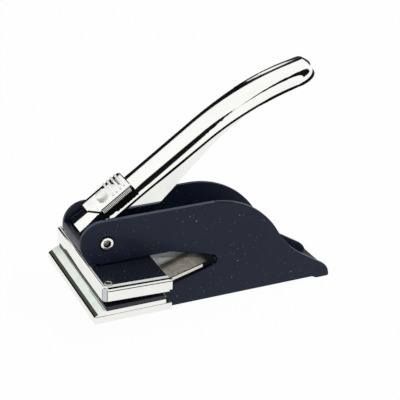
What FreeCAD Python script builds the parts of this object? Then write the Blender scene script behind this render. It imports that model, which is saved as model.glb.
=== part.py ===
"""Desk seal embosser: a lever-operated press that embosses paper between two rectangular dies.

Millimetres. X runs from the dies (front) to the tail (back), Y across, Z up from the table.
The origin is on the underside of the rubber pad, halfway along the base, on the centre plane.
The jaw parts are drawn level, in a frame on the jaw's hinge pin, and the handle parts along the
handle, in a frame on the pivot pin; each part's Placement then opens it to the released pose.
"""
import FreeCAD
import Part
import Sketcher
import math
import os

Vector = FreeCAD.Vector
ACROSS = Vector(0, 1, 0)

# ---------------------------------------------------------------- driving dimensions

DIMENSIONS = {
    # frame: one folded sheet, two cheeks and a floor
    "base_length": 113.0,
    "frame_width": 24.0,
    "sheet_wall": 2.0,
    "edge_break": 0.5,
    "heel_drop": 1.0,
    "heel_length": 6.0,
    "beam_setback": 9.0,
    "beam_height": 10.2,
    "nose_setback": 10.6,
    "nose_height": 34.2,
    "nose_radius": 9.2,
    "window_setback": 40.0,
    "window_tip_setback": 66.0,
    "window_tip_height": 17.6,
    "window_tip_radius": 2.3,
    "hump_height": 43.5,
    "hump_inset": 35.4,
    "hump_radius": 35.0,
    "hollow_inset": 20.2,
    "hollow_height": 16.2,
    "hollow_radius": 38.0,
    "toe_height": 3.6,
    "toe_radius": 6.5,
    "bridge_low": 31.0,
    "bridge_high": 36.2,
    "bridge_flange": 4.0,
    "bridge_flange_wall": 0.5,
    "pad_inset": 2.0,
    # lower jaw
    "plate_width": 61.9,
    "plate_length": 32.0,
    "plate_edge": 2.8,
    "plate_rise": 1.8,
    "plate_bevel": 2.9,
    "plate_rear_step": 2.3,
    "plate_side_step": 0.35,
    "lower_die_setback": 4.9,
    "lower_die_length": 24.4,
    "lower_die_width": 60.6,
    "lower_die_wall": 1.6,
    "anvil_length": 20.0,
    "anvil_fit": 0.2,
    "anvil_screw_radius": 1.5,
    "anvil_screw_pitch": 12.0,
    "anvil_screw_bite": 2.5,
    "anvil_screw_head_radius": 2.8,
    "anvil_screw_head": 0.8,
    # upper jaw
    "paper_gap": 0.3,
    "jaw_open": 2.0,
    "hinge_setback": 64.5,
    "hinge_height": 16.65,
    "platen_setback": 3.9,
    "platen_length": 27.3,
    "platen_width": 60.9,
    "platen_height": 5.9,
    "platen_rim": 1.2,
    "platen_corner": 2.0,
    "platen_shoulder": 0.8,
    "lug_length": 1.2,
    "lug_height": 4.4,
    "cap_wall": 0.8,
    "cap_fit": 0.15,
    "cap_screw_inset": 3.0,
    "cap_screw_radius": 0.9,
    "cap_screw_head_radius": 1.6,
    "cap_screw_head": 0.4,
    "cap_screw_bite": 0.9,
    "arm_wall": 1.8,
    "arm_shoulder_setback": 5.9,
    "arm_shoulder_width": 23.2,
    "arm_tongue_width": 14.4,
    "eye_radius": 3.0,
    "upper_die_length": 21.6,
    "upper_die_width": 51.0,
    "upper_die_wall": 1.4,
    "wear_wall": 0.8,
    "wear_length": 13.0,
    "wear_width": 16.0,
    "wear_lead": 3.0,
    "wear_rivet_radius": 1.0,
    "wear_rivet_pitch": 8.0,
    # jaw hinge and return spring
    "hinge_pin_radius": 1.75,
    "hinge_pin_end": 0.3,
    "bracket_wall": 2.0,
    "bracket_length": 9.0,
    "bracket_base": 1.5,
    "bracket_gap": 0.2,
    "bracket_crown": 3.4,
    "bracket_rivet_radius": 1.5,
    "bracket_rivet_head_radius": 2.4,
    "bracket_rivet_head": 0.8,
    "bracket_rivet_pitch": 7.6,
    "spring_setback": 50.0,
    "spring_radius": 3.0,
    "spring_wire": 0.9,
    "spring_turns": 5.0,
    "spring_slack": 0.7,
    "stud_fit": 0.25,
    "spring_stud_height": 4.0,
    "spring_stud_shank": 1.2,
    # pivot
    "pivot_setback": 12.3,
    "pivot_height": 33.95,
    "pivot_radius": 2.2,
    "pivot_head_radius": 2.6,
    "pivot_head": 0.5,
    "pivot_hollow_radius": 1.5,
    "pivot_hollow_depth": 2.0,
    "bush_radius": 4.2,
    "running_fit": 0.05,
    "side_fit": 0.1,
    # handle
    "handle_slope": 34.5,
    "handle_travel": 30.0,
    "handle_bend": 21.0,
    "handle_bend_radius": 130.0,
    "handle_straight": 57.0,
    "handle_tip": 9.2,
    "cover_top": 9.0,
    "cover_front": 5.0,
    "cover_width": 18.6,
    "cover_wall": 1.0,
    "cover_depth": 4.9,
    "cover_front_depth": 3.5,
    "cover_form_depth": 9.0,
    "cover_front_shoulder": 2.8,
    "cover_shoulder": 6.8,
    "cover_shoulder_run": 28.0,
    "cover_tip_shoulder": 3.4,
    "cover_tip_near_corner": 12.0,
    "cover_tip_far_corner": 3.6,
    "lever_width": 13.6,
    "lever_wall": 1.5,
    "lever_shoulder": 4.6,
    "lever_inner_shoulder": 2.4,
    "lever_front": 4.0,
    "lever_depth": 7.3,
    "lever_bend": 20.5,
    "lever_belly_radius": 85.0,
    "lever_root_reach": 10.0,
    "lever_root_drop": 7.2,
    "lever_taper": 8.6,
    "cover_lip": 0.8,
    "cam_clearance": 0.12,
    "cross_pin_radius": 0.7,
    "cross_pin_reach": 33.0,
    "cross_pin_depth": 2.3,
    "cross_pin_end": 0.2,
    # lock slide on the handle
    "slide_rear": 22.3,
    "slide_front": 2.3,
    "slide_front_cut": 4.4,
    "slide_width": 14.8,
    "slide_wall": 1.6,
    "slide_shoulder": 0.6,
    "slide_travel": 4.0,
    "slide_rib_pitch": 1.9,
    "slide_rib_count": 4,
    "slide_rib_length": 0.8,
    "slide_rib_height": 0.5,
    "slide_rib_width": 9.0,
    "slide_stud_reach": 10.6,
    "slide_stud_radius": 1.4,
    "slide_stud_head_radius": 2.3,
    "slide_stud_head": 1.3,
    "slide_slot_fit": 0.15,
    "slide_clip_length": 8.0,
    "slide_clip_width": 6.0,
    "slide_clip_wall": 0.6,
}

document = FreeCAD.newDocument("seal_embosser")
sheet = document.addObject("Spreadsheet::Sheet", "sizes")
for row, (alias, number) in enumerate(DIMENSIONS.items(), start=1):
    sheet.set(f"A{row}", alias)
    sheet.set(f"B{row}", str(number))
    sheet.setAlias(f"B{row}", alias)
document.recompute()


class Size:
    """A length or angle worked out from the sheet: its value, and the same sum as an expression."""

    def __init__(self, value, formula):
        self.value = value
        self.formula = formula

    @staticmethod
    def of(other):
        return other if isinstance(other, Size) else Size(float(other), repr(float(other)))

    def __add__(self, other):
        other = Size.of(other)
        return Size(self.value + other.value, f"({self.formula} + {other.formula})")

    def __sub__(self, other):
        other = Size.of(other)
        return Size(self.value - other.value, f"({self.formula} - {other.formula})")

    def __rsub__(self, other):
        return Size.of(other) - self

    def __mul__(self, other):
        other = Size.of(other)
        return Size(self.value * other.value, f"({self.formula} * {other.formula})")

    def __truediv__(self, other):
        other = Size.of(other)
        return Size(self.value / other.value, f"({self.formula} / {other.formula})")

    def __neg__(self):
        return Size(0.0, "0") - self

    __radd__ = __add__
    __rmul__ = __mul__


def tangent(angle):
    return Size(math.tan(math.radians(angle.value)), f"tan({angle.formula} * 1 deg)")


def sine(angle):
    return Size(math.sin(math.radians(angle.value)), f"sin({angle.formula} * 1 deg)")


class Sheet:
    """Gives each named cell of the sheet as a Size."""

    def __getattr__(self, alias):
        return Size(float(getattr(sheet, alias)), f"sizes.{alias}")


size = Sheet()

# ---------------------------------------------------------------- derived places

front = -size.base_length / 2
half_frame = size.frame_width / 2
half_inside = half_frame - size.sheet_wall
floor_under = size.heel_drop
floor_top = size.heel_drop + size.sheet_wall
plate_under = size.heel_drop + size.beam_height
plate_field = plate_under + size.plate_edge + size.plate_rise
die_top = plate_field + size.lower_die_wall

hinge_x = front + size.hinge_setback
hinge_z = size.heel_drop + size.hinge_height
pivot_x = front + size.pivot_setback
pivot_z = size.heel_drop + size.pivot_height

# level jaw, seen from its hinge
platen_front = size.platen_setback - size.hinge_setback
platen_rear = platen_front + size.platen_length
platen_under = die_top + size.paper_gap - hinge_z
platen_top = platen_under + size.platen_height
arm_top = platen_top - size.cap_wall
arm_under = arm_top - size.arm_wall
wear_top = platen_top + size.wear_wall
wear_front = size.pivot_setback - size.hinge_setback - size.wear_lead

lever_top = size.cover_top - size.cover_wall
lever_web_under = lever_top - size.lever_wall
slide_under = size.cover_top + size.running_fit
slide_top = slide_under + size.slide_wall

# ---------------------------------------------------------------- building helpers

finished = []


def bind(thing, name, amount):
    """Ties one property of an object to the sheet."""
    thing.setExpression(name, Size.of(amount).formula)


def place(thing, x, z, axis=ACROSS, angle=None):
    """Puts an object at a bound place on the centre plane, turned by a bound angle."""
    if angle is not None:
        thing.Placement = FreeCAD.Placement(Vector(), FreeCAD.Rotation(axis, angle.value))
        bind(thing, "Placement.Rotation.Angle", angle)
    bind(thing, "Placement.Base.x", x)
    bind(thing, "Placement.Base.z", z)
    return thing


def on_base(thing):
    return thing


def on_jaw(thing):
    return place(thing, hinge_x, hinge_z, axis=ACROSS, angle=size.jaw_open)


def on_handle(thing):
    return place(thing, pivot_x, pivot_z, axis=-ACROSS, angle=size.handle_slope)


def finish(thing, label, seat=on_base):
    """Labels a finished sub-part, seats it and puts it on the list of parts to write."""
    thing.Label = label
    finished.append(seat(thing))
    return thing


def new_body(name):
    return document.addObject("PartDesign::Body", f"{name}_body")


def new_sketch(body, name, plane, offset=0):
    """A sketch on one of the body's own origin planes, moved along the plane's normal."""
    sketch = body.newObject("Sketcher::SketchObject", name)
    datum = next(item for item in body.Origin.OriginFeatures if item.Role == plane)
    sketch.AttachmentSupport = [(datum, "")]
    sketch.MapMode = "FlatFace"
    bind(sketch, "AttachmentOffset.Base.z", offset)
    return sketch


def pin_point(sketch, element, which, x, y):
    """Ties one end or centre of a sketch element to bound coordinates."""
    for kind, amount in (("DistanceX", x), ("DistanceY", y)):
        amount = Size.of(amount)
        index = sketch.addConstraint(Sketcher.Constraint(kind, element, which, amount.value))
        sketch.setExpression(f"Constraints[{index}]", amount.formula)


def polygon(sketch, corners):
    """A closed polygon whose corners are all bound to the sheet."""
    corners = [(Size.of(x), Size.of(y)) for x, y in corners]
    points = [Vector(x.value, y.value, 0) for x, y in corners]
    first = sketch.GeometryCount
    for start, end in zip(points, points[1:] + points[:1]):
        sketch.addGeometry(Part.LineSegment(start, end))
    last = sketch.GeometryCount - 1
    for element in range(first, last + 1):
        following = element + 1 if element < last else first
        sketch.addConstraint(Sketcher.Constraint("Coincident", element, 2, following, 1))
    for element, (x, y) in enumerate(corners, start=first):
        pin_point(sketch, element, 1, x, y)


def rectangle(sketch, left, right, low, high):
    polygon(sketch, [(left, low), (right, low), (right, high), (left, high)])


def circle(sketch, radius, x=0, y=0):
    x, y = Size.of(x), Size.of(y)
    element = sketch.addGeometry(Part.Circle(Vector(x.value, y.value, 0), Vector(0, 0, 1), radius.value))
    index = sketch.addConstraint(Sketcher.Constraint("Radius", element, radius.value))
    sketch.setExpression(f"Constraints[{index}]", radius.formula)
    pin_point(sketch, element, 3, x, y)


def rounded_outline(sketch, corners):
    """A closed outline of straight runs whose corners are (x, y, radius); a Size radius is bound."""
    count = len(corners)
    points = [Vector(x, y, 0) for x, y, _ in corners]
    arcs = []
    for index, (_, _, radius) in enumerate(corners):
        radius = Size.of(radius)
        corner = points[index]
        if radius.value == 0:
            arcs.append((corner, corner, corner, radius))
            continue
        back = (points[index - 1] - corner).normalize()
        ahead = (points[(index + 1) % count] - corner).normalize()
        half_turn = (math.pi - back.getAngle(ahead)) / 2
        reach = radius.value * math.tan(half_turn)
        middle = (back + ahead).normalize()
        crown = corner + middle * (radius.value / math.cos(half_turn) - radius.value)
        arcs.append((corner + back * reach, crown, corner + ahead * reach, radius))
    for index, (start, crown, end, radius) in enumerate(arcs):
        if radius.value > 0:
            element = sketch.addGeometry(Part.Arc(start, crown, end))
            row = sketch.addConstraint(Sketcher.Constraint("Radius", element, radius.value))
            sketch.setExpression(f"Constraints[{row}]", radius.formula)
        next_start = arcs[(index + 1) % count][0]
        if (next_start - end).Length > 1e-6:
            sketch.addGeometry(Part.LineSegment(end, next_start))
    return sketch


def pad(body, sketch, length, both_ways=False, name="pad"):
    feature = body.newObject("PartDesign::Pad", f"{sketch.Name}_{name}")
    feature.Profile = sketch
    feature.Midplane = both_ways
    bind(feature, "Length", length)
    return feature


def pocket(body, sketch, length, both_ways=False, reverse=False):
    feature = body.newObject("PartDesign::Pocket", f"{sketch.Name}_pocket")
    feature.Profile = sketch
    feature.Midplane = both_ways
    feature.Reversed = reverse
    bind(feature, "Length", length)
    return feature


def round_edges(body, radius, chosen):
    """Rounds the edges of the body so far that the test picks."""
    document.recompute()
    base = body.Tip
    names = [f"Edge{number}" for number, edge in enumerate(base.Shape.Edges, start=1) if chosen(edge)]
    feature = body.newObject("PartDesign::Fillet", f"{base.Name}_round")
    feature.Base = (base, names)
    bind(feature, "Radius", radius)
    document.recompute()
    return feature


def along(edge, direction):
    """Whether a straight edge runs along the direction."""
    if not isinstance(edge.Curve, (Part.Line, Part.LineSegment)):
        return False
    run = edge.Vertexes[-1].Point - edge.Vertexes[0].Point
    return run.cross(direction).Length < 1e-6 * run.Length


def cylinder(name, radius, length, x=0, y=0, z=0, across=False):
    """A cylinder standing on (x, y, z), or lying along Y from there."""
    rod = document.addObject("Part::Cylinder", name)
    bind(rod, "Radius", radius)
    bind(rod, "Height", length)
    if across:
        rod.Placement = FreeCAD.Placement(Vector(), FreeCAD.Rotation(Vector(1, 0, 0), -90))
    for axis, amount in (("x", x), ("y", y), ("z", z)):
        bind(rod, f"Placement.Base.{axis}", amount)
    return rod


def fused(name, parts):
    whole = document.addObject("Part::MultiFuse", name)
    whole.Shapes = parts
    return whole


def cut(name, base, tool):
    result = document.addObject("Part::Cut", name)
    result.Base = base
    result.Tool = tool
    return result


def grouped(name, parts):
    """Separate solids of one kind of fastener in one object."""
    group = document.addObject("Part::Compound", name)
    group.Links = parts
    return group


# ---------------------------------------------------------------- frame and base


def make_frame():
    """Folded sheet channel: two cheeks with a window at the front, joined by a floor."""
    body = new_body("frame")
    ground = size.heel_drop.value
    start = front.value
    tail = size.base_length.value
    nose_left = size.nose_setback.value - size.nose_radius.value
    nose_low = size.nose_height.value - size.nose_radius.value
    nose_high = size.nose_height.value + size.nose_radius.value
    corners = [
        (size.beam_setback.value, 0, 1.0),
        (tail - size.heel_length.value - 2, 0, 2.0),
        (tail - size.heel_length.value, -ground, 1.0),
        (tail, -ground, 0.8),
        (tail, size.toe_height.value, size.toe_radius),
        (tail - size.hollow_inset.value, size.hollow_height.value, size.hollow_radius),
        (tail - size.hump_inset.value, size.hump_height.value, size.hump_radius),
        (nose_left, nose_high, size.nose_radius),
        (nose_left, nose_low, size.nose_radius),
        (size.window_setback.value, nose_low, 6.0),
        (size.window_tip_setback.value, size.window_tip_height.value, size.window_tip_radius),
        (size.window_setback.value, size.beam_height.value, 3.0),
        (size.beam_setback.value, size.beam_height.value, 0),
    ]
    outline = new_sketch(body, "cheek_outline", "XZ_Plane")
    rounded_outline(outline, [(start + x, ground + z, radius) for x, z, radius in corners])
    pad(body, outline, size.frame_width, both_ways=True)

    channel = new_sketch(body, "frame_channel", "XY_Plane", floor_top)
    rectangle(channel, front, -front + size.sheet_wall, -half_inside, half_inside)
    pocket(body, channel, size.hump_height, reverse=True)

    pivot_hole = new_sketch(body, "frame_pivot_hole", "XZ_Plane")
    circle(pivot_hole, size.pivot_radius, pivot_x, pivot_z)
    pocket(body, pivot_hole, size.frame_width * 2, both_ways=True)

    floor_holes = new_sketch(body, "frame_floor_holes", "XY_Plane", floor_top)
    for x in anvil_screw_places():
        circle(floor_holes, size.anvil_screw_radius, x, 0)
    for side in (-1, 1):
        circle(floor_holes, size.bracket_rivet_radius, hinge_x, size.bracket_rivet_pitch * side / 2)
    circle(floor_holes, size.spring_stud_shank, front + size.spring_setback, 0)
    pocket(body, floor_holes, size.sheet_wall + size.heel_drop)

    def on_outer_rim(edge):
        box = edge.BoundBox
        flat = box.YLength < 1e-6
        return flat and abs(abs(box.YMin) - half_frame.value) < 1e-6 and box.DiagonalLength > 6

    round_edges(body, size.edge_break, on_outer_rim)
    return finish(body, "frame")


def make_nose_bridge():
    """Curved strip that joins the two noses at the front, with a flange against each cheek."""
    nose_x = front + size.nose_setback
    nose_z = size.heel_drop + size.nose_height
    inside = half_inside * 2
    between = inside - size.bridge_flange_wall * 2
    block = document.addObject("Part::Box", "bridge_block")
    bind(block, "Length", size.sheet_wall + size.bridge_flange)
    bind(block, "Width", inside)
    bind(block, "Height", size.bridge_high - size.bridge_low)
    bind(block, "Placement.Base.x", nose_x - size.nose_radius)
    bind(block, "Placement.Base.y", -half_inside)
    bind(block, "Placement.Base.z", size.heel_drop + size.bridge_low)
    hollow = cylinder("bridge_hollow", size.nose_radius - size.sheet_wall, between,
                      x=nose_x, y=-between / 2, z=nose_z, across=True)
    roll = cylinder("bridge_roll", size.nose_radius, inside, x=nose_x, y=-half_inside, z=nose_z, across=True)
    bridge = document.addObject("Part::Common", "bridge_strip")
    bridge.Base = cut("bridge_bent_block", block, hollow)
    bridge.Tool = roll
    return finish(bridge, "nose_bridge")


def make_base_pad():
    """Rubber sheet under the floor, with room for the anvil screw heads."""
    body = new_body("base_pad")
    outline = new_sketch(body, "pad_outline", "XY_Plane")
    half = half_frame - size.pad_inset
    rectangle(outline, front + size.beam_setback + 1, -front - size.heel_length - 3, -half, half)
    pad(body, outline, size.heel_drop)
    holes = new_sketch(body, "pad_holes", "XY_Plane", size.heel_drop)
    for x in anvil_screw_places():
        circle(holes, size.anvil_screw_head_radius + size.anvil_fit, x, 0)
    pocket(body, holes, size.heel_drop)
    return finish(body, "base_pad")


# ---------------------------------------------------------------- lower jaw


def anvil_screw_places():
    middle = front + size.beam_setback + size.anvil_fit + size.anvil_length / 2
    return [middle - size.anvil_screw_pitch / 2, middle + size.anvil_screw_pitch / 2]


def make_lower_plate():
    """Chromed plate on the frame's beam: bevelled front, raised field for the lower die."""
    body = new_body("lower_plate")
    edge_top = plate_under + size.plate_edge
    rear = front + size.plate_length
    profile = new_sketch(body, "plate_profile", "XZ_Plane")
    polygon(profile, [
        (front, plate_under),
        (rear, plate_under),
        (rear, edge_top),
        (rear - size.plate_rear_step, edge_top),
        (rear - size.plate_rear_step, plate_field),
        (front + size.plate_bevel, plate_field),
        (front, edge_top),
    ])
    pad(body, profile, size.plate_width, both_ways=True)
    steps = new_sketch(body, "plate_side_steps", "XY_Plane", plate_field)
    outer = size.plate_width / 2
    inner = outer - size.plate_side_step
    rectangle(steps, front, rear, inner, outer + 1)
    rectangle(steps, front, rear, -outer - 1, -inner)
    pocket(body, steps, size.plate_rise)
    holes = new_sketch(body, "plate_screw_holes", "XY_Plane", plate_under)
    for x in anvil_screw_places():
        circle(holes, size.anvil_screw_radius, x, 0)
    pocket(body, holes, size.anvil_screw_bite, reverse=True)
    return finish(body, "lower_plate")


def make_lower_die():
    """Black counter die lying on the plate's raised field."""
    body = new_body("lower_die")
    start = front + size.lower_die_setback
    half = size.lower_die_width / 2
    outline = new_sketch(body, "lower_die_outline", "XY_Plane", plate_field)
    rectangle(outline, start, start + size.lower_die_length, -half, half)
    pad(body, outline, size.lower_die_wall)
    return finish(body, "lower_die")


def make_anvil_block():
    """Steel block that fills the channel under the lower plate and takes the press force."""
    body = new_body("anvil_block")
    start = front + size.beam_setback + size.anvil_fit
    half = half_inside - size.anvil_fit
    outline = new_sketch(body, "anvil_outline", "XY_Plane", floor_top)
    rectangle(outline, start, start + size.anvil_length, -half, half)
    pad(body, outline, plate_under - floor_top)
    holes = new_sketch(body, "anvil_holes", "XY_Plane", plate_under)
    for x in anvil_screw_places():
        circle(holes, size.anvil_screw_radius, x, 0)
    pocket(body, holes, plate_under - floor_top)
    return finish(body, "anvil_block")


def make_anvil_screws():
    """Two screws from under the floor, through the anvil block, into the lower plate."""
    head_under = floor_under - size.anvil_screw_head
    screws = []
    for number, x in enumerate(anvil_screw_places(), start=1):
        shank = cylinder(f"anvil_screw_shank_{number}", size.anvil_screw_radius,
                         plate_under + size.anvil_screw_bite - head_under, x=x, z=head_under)
        head = cylinder(f"anvil_screw_head_{number}", size.anvil_screw_head_radius, size.anvil_screw_head,
                        x=x, z=head_under)
        screws.append(fused(f"anvil_screw_{number}", [shank, head]))
    return finish(grouped("anvil_screw_pair", screws), "anvil_screws")


# ---------------------------------------------------------------- upper jaw, drawn level on its hinge


def cap_screw_places():
    x = platen_front + size.cap_screw_inset
    y = size.platen_width / 2 - size.cap_screw_inset
    return [(x, -y), (x, y)]


def wear_rivet_places():
    middle = wear_front + size.wear_length / 2
    return [middle - size.wear_rivet_pitch / 2, middle + size.wear_rivet_pitch / 2]


def arm_half_width():
    return size.platen_width / 2 - size.platen_rim - size.cap_fit


def make_upper_platen():
    """Chromed tray: holds the press arm and cap from above and the upper die from below."""
    body = new_body("upper_platen")
    half = size.platen_width / 2
    outline = new_sketch(body, "platen_outline", "XY_Plane", platen_under)
    rectangle(outline, platen_front, platen_rear, -half, half)
    pad(body, outline, size.platen_height)

    def front_corner(edge):
        at_front = abs(edge.BoundBox.XMax - platen_front.value) < 1e-6
        return at_front and along(edge, Vector(0, 0, 1))

    round_edges(body, size.platen_corner, front_corner)

    def top_rim(edge):
        on_top = edge.BoundBox.ZMin > platen_top.value - 1e-6
        at_rear = edge.BoundBox.XMin > platen_rear.value - 1e-6
        return on_top and not at_rear

    round_edges(body, size.platen_shoulder, top_rim)

    recess = new_sketch(body, "platen_recess", "XY_Plane", platen_top)
    inside = half - size.platen_rim
    rectangle(recess, platen_front + size.platen_rim, platen_rear + 1, -inside, inside)
    pocket(body, recess, size.cap_wall + size.arm_wall)

    die_seat = new_sketch(body, "platen_die_seat", "XY_Plane", platen_under)
    middle = (platen_front + platen_rear) / 2
    seat_length = size.upper_die_length / 2 + size.cap_fit
    seat_width = size.upper_die_width / 2 + size.cap_fit
    rectangle(die_seat, middle - seat_length, middle + seat_length, -seat_width, seat_width)
    pocket(body, die_seat, size.upper_die_wall, reverse=True)

    screw_holes = new_sketch(body, "platen_screw_holes", "XY_Plane", arm_under)
    for x, y in cap_screw_places():
        circle(screw_holes, size.cap_screw_radius, x, y)
    pocket(body, screw_holes, size.cap_screw_bite)

    lugs = new_sketch(body, "platen_lugs", "XY_Plane", platen_top - size.platen_shoulder)
    rectangle(lugs, platen_rear, platen_rear + size.lug_length, inside, half)
    rectangle(lugs, platen_rear, platen_rear + size.lug_length, -half, -inside)
    lug = pad(body, lugs, size.lug_height)
    lug.Reversed = True
    return finish(body, "upper_platen", on_jaw)


def make_press_arm():
    """Steel plate arm: full width in the platen, tapering back to an eye on the hinge pin."""
    body = new_body("press_arm")
    half = arm_half_width()
    start = platen_front + size.platen_rim + size.cap_fit
    root = -size.eye_radius / 2
    side = new_sketch(body, "arm_side", "XZ_Plane")
    polygon(side, [
        (start, arm_under),
        (platen_rear, arm_under),
        (root, -size.arm_wall / 2),
        (root, size.arm_wall / 2),
        (platen_rear, arm_top),
        (start, arm_top),
    ])
    pad(body, side, half * 2, both_ways=True)

    taper = new_sketch(body, "arm_taper", "XY_Plane")
    shoulder = -size.arm_shoulder_setback
    shoulder_half = size.arm_shoulder_width / 2
    tongue_half = size.arm_tongue_width / 2
    beyond = size.eye_radius * 2
    for hand in (1, -1):
        polygon(taper, [
            (platen_rear, half * hand),
            (shoulder, shoulder_half * hand),
            (shoulder, tongue_half * hand),
            (beyond, tongue_half * hand),
            (beyond, (half + 1) * hand),
            (platen_rear, (half + 1) * hand),
        ])
    pocket(body, taper, size.platen_length * 2, both_ways=True)

    eye = new_sketch(body, "arm_eye", "XZ_Plane")
    circle(eye, size.eye_radius)
    pad(body, eye, size.arm_tongue_width, both_ways=True)
    eye_hole = new_sketch(body, "arm_eye_hole", "XZ_Plane")
    circle(eye_hole, size.hinge_pin_radius + size.running_fit)
    pocket(body, eye_hole, size.arm_tongue_width * 2, both_ways=True)

    holes = new_sketch(body, "arm_holes", "XY_Plane", arm_top)
    for x, y in cap_screw_places():
        circle(holes, size.cap_screw_radius, x, y)
    for x in wear_rivet_places():
        circle(holes, size.wear_rivet_radius, x, 0)
    pocket(body, holes, size.arm_wall)
    return finish(body, "press_arm", on_jaw)


def make_cap_plate():
    """Black cap that lies on the arm inside the tray's rim."""
    body = new_body("cap_plate")
    half = arm_half_width()
    outline = new_sketch(body, "cap_outline", "XY_Plane", arm_top)
    rectangle(outline, platen_front + size.platen_rim + size.cap_fit, platen_rear, -half, half)
    pad(body, outline, size.cap_wall)
    holes = new_sketch(body, "cap_holes", "XY_Plane", platen_top)
    for x, y in cap_screw_places():
        circle(holes, size.cap_screw_radius, x, y)
    for x in wear_rivet_places():
        circle(holes, size.wear_rivet_radius, x, 0)
    pocket(body, holes, size.cap_wall)
    return finish(body, "cap_plate", on_jaw)


def make_cap_screws():
    """Two small round-headed screws that hold cap, arm and tray together."""
    low = arm_under - size.cap_screw_bite
    screws = []
    for number, (x, y) in enumerate(cap_screw_places(), start=1):
        shank = cylinder(f"cap_screw_shank_{number}", size.cap_screw_radius, platen_top - low,
                         x=x, y=y, z=low)
        head = cylinder(f"cap_screw_head_{number}", size.cap_screw_head_radius, size.cap_screw_head,
                        x=x, y=y, z=platen_top)
        screws.append(fused(f"cap_screw_{number}", [shank, head]))
    return finish(grouped("cap_screw_pair", screws), "cap_screws", on_jaw)


def make_upper_die():
    """Brass die in the underside of the tray."""
    body = new_body("upper_die")
    middle = (platen_front + platen_rear) / 2
    half_length = size.upper_die_length / 2
    half_width = size.upper_die_width / 2
    outline = new_sketch(body, "upper_die_outline", "XY_Plane", platen_under)
    rectangle(outline, middle - half_length, middle + half_length, -half_width, half_width)
    pad(body, outline, size.upper_die_wall)
    return finish(body, "upper_die", on_jaw)


def make_wear_plate():
    """Hard plate on the cap that the lever's cams slide on."""
    body = new_body("wear_plate")
    half = size.wear_width / 2
    outline = new_sketch(body, "wear_outline", "XY_Plane", platen_top)
    rectangle(outline, wear_front, wear_front + size.wear_length, -half, half)
    pad(body, outline, size.wear_wall)
    holes = new_sketch(body, "wear_holes", "XY_Plane", wear_top)
    for x in wear_rivet_places():
        circle(holes, size.wear_rivet_radius, x, 0)
    pocket(body, holes, size.wear_wall)
    return finish(body, "wear_plate", on_jaw)


def make_wear_rivets():
    """Flush rivets through wear plate, cap and arm."""
    rivets = [
        cylinder(f"wear_rivet_{number}", size.wear_rivet_radius, wear_top - arm_under, x=x, z=arm_under)
        for number, x in enumerate(wear_rivet_places(), start=1)
    ]
    return finish(grouped("wear_rivet_pair", rivets), "wear_plate_rivets", on_jaw)


# ---------------------------------------------------------------- jaw hinge and return spring


def make_hinge_bracket():
    """Saddle on the frame's floor whose two ears carry the jaw's hinge pin."""
    body = new_body("hinge_bracket")
    inner = size.arm_tongue_width / 2 + size.bracket_gap
    outer = inner + size.bracket_wall
    left = (hinge_x - size.bracket_length / 2).value
    right = (hinge_x + size.bracket_length / 2).value
    crown = (hinge_z + size.bracket_crown).value
    ears = new_sketch(body, "bracket_side", "XZ_Plane")
    rounding = size.bracket_length / 2 - size.running_fit
    rounded_outline(ears, [
        (left, floor_top.value, 0),
        (right, floor_top.value, 0),
        (right, crown, rounding),
        (left, crown, rounding),
    ])
    pad(body, ears, outer * 2, both_ways=True)
    gap = new_sketch(body, "bracket_gap", "XY_Plane", floor_top + size.bracket_base)
    rectangle(gap, hinge_x - size.bracket_length, hinge_x + size.bracket_length, -inner, inner)
    pocket(body, gap, size.hinge_height + size.bracket_crown, reverse=True)
    pin_hole = new_sketch(body, "bracket_pin_hole", "XZ_Plane")
    circle(pin_hole, size.hinge_pin_radius, hinge_x, hinge_z)
    pocket(body, pin_hole, outer * 4, both_ways=True)
    rivet_holes = new_sketch(body, "bracket_rivet_holes", "XY_Plane", floor_top + size.bracket_base)
    for side in (-1, 1):
        circle(rivet_holes, size.bracket_rivet_radius, hinge_x, size.bracket_rivet_pitch * side / 2)
    pocket(body, rivet_holes, size.bracket_base)
    return finish(body, "hinge_bracket")


def make_hinge_pin():
    half = size.arm_tongue_width / 2 + size.bracket_gap + size.bracket_wall + size.hinge_pin_end
    pin = cylinder("hinge_pin_rod", size.hinge_pin_radius, half * 2,
                   x=hinge_x, y=-half, z=hinge_z, across=True)
    return finish(pin, "hinge_pin")


def make_bracket_rivets():
    """Two rivets that hold the bracket to the floor, flush underneath."""
    base_top = floor_top + size.bracket_base
    rivets = []
    for number, side in enumerate((-1, 1), start=1):
        y = size.bracket_rivet_pitch * side / 2
        shank = cylinder(f"bracket_rivet_shank_{number}", size.bracket_rivet_radius, base_top - floor_under,
                         x=hinge_x, y=y, z=floor_under)
        head = cylinder(f"bracket_rivet_head_{number}", size.bracket_rivet_head_radius,
                        size.bracket_rivet_head, x=hinge_x, y=y, z=base_top)
        rivets.append(fused(f"bracket_rivet_{number}", [shank, head]))
    return finish(grouped("bracket_rivet_pair", rivets), "bracket_rivets")


def spring_top():
    """Underside of the released arm above the spring, less a little slack."""
    reach = size.spring_setback - size.hinge_setback
    middle = (arm_top + arm_under) / 2
    rise = middle * (reach / platen_rear) - size.arm_wall / 2 - reach * sine(size.jaw_open)
    return hinge_z + rise - size.spring_slack


def make_return_spring():
    """Compression spring between floor and arm; it lifts the upper jaw."""
    body = new_body("return_spring")
    section = new_sketch(body, "spring_section", "XZ_Plane", 0)
    circle(section, size.spring_wire / 2, size.spring_radius, 0)
    coil = body.newObject("PartDesign::AdditiveHelix", "spring_coil")
    coil.Profile = section
    coil.ReferenceAxis = (section, ["V_Axis"])
    coil.Mode = "height-turns-angle"
    bind(coil, "Height", spring_top() - floor_top - size.spring_wire)
    bind(coil, "Turns", size.spring_turns)
    finish(body, "return_spring")
    return place(body, front + size.spring_setback, floor_top + size.spring_wire / 2)


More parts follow.
